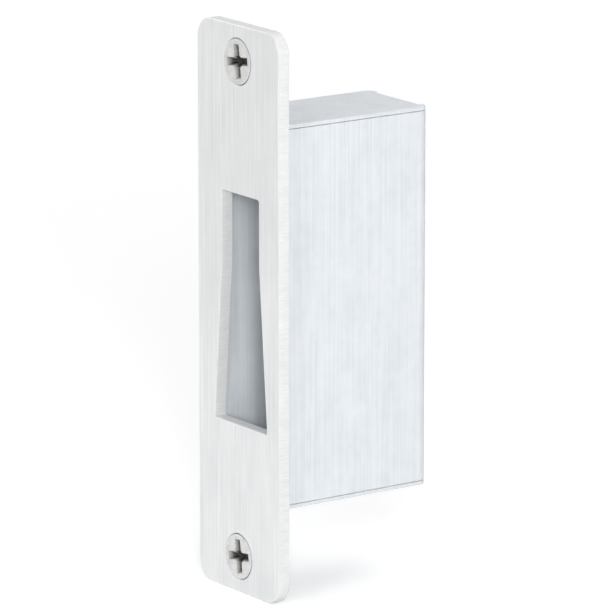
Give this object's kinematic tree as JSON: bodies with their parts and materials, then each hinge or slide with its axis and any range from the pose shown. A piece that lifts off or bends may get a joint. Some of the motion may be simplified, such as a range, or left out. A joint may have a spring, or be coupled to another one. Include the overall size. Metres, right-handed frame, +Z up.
{
  "type": "door strike plate with dust box",
  "caption": "Upright strike plate with rounded corners, a flared bolt opening, a folded sheet steel dust box behind it and flush countersunk cross-recess screws.",
  "frame": {"origin": "halfway between the two screws, on the plane of the plate's back face", "axes": "+Z up along the plate, the plate's front face looks along -Y and the dust box stands out along +Y, +X to the right as seen from the front"},
  "size_m": [0.0286, 0.0396, 0.1174],
  "materials": {
    "plate": "satin stainless steel",
    "box": "zinc-plated sheet steel",
    "screws": "bright stainless steel"
  },
  "bodies": {
    "root": {"strike_plate": "plate", "dust_box": "box", "screw_upper": "screws", "screw_lower": "screws"}
  },
  "joints": []
}
